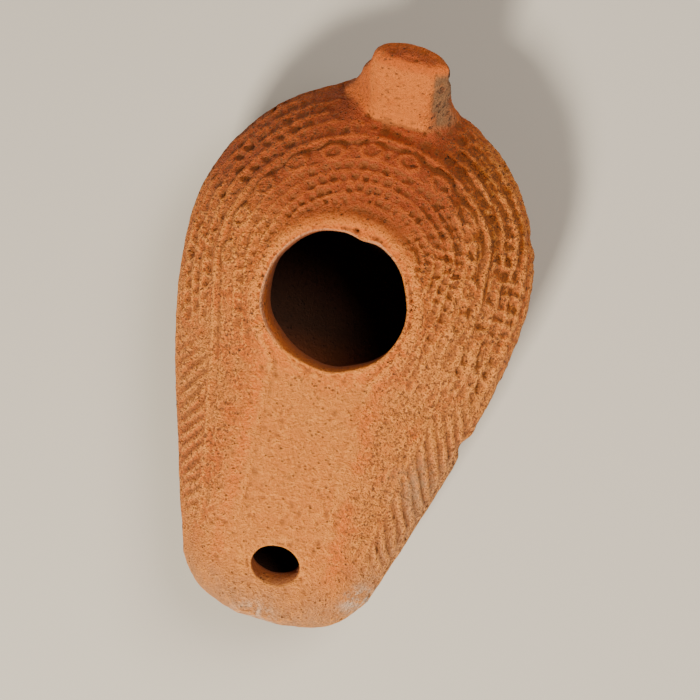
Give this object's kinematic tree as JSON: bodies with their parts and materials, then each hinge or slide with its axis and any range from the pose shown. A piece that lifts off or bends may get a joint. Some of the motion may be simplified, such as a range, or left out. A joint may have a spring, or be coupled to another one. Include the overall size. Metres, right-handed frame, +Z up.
{
  "type": "mould-made terracotta oil lamp with channel nozzle and tongue handle",
  "caption": "Hollow terracotta oil lamp of teardrop plan with a filling hole, a channel to the wick hole, a patterned shoulder and a tongue handle leaning back.",
  "frame": {"origin": "middle of the bounding box, at the flat underside of the foot", "axes": "+Y from the nozzle to the handle, +X across to the lamp's right seen from the nozzle, +Z up"},
  "size_m": [0.0656, 0.109, 0.0422],
  "materials": {
    "terracotta": "matt buff to orange fired clay, worn, with pores, soil in the relief and pale deposits"
  },
  "bodies": {
    "root": {"lamp_body": "terracotta"}
  },
  "joints": []
}
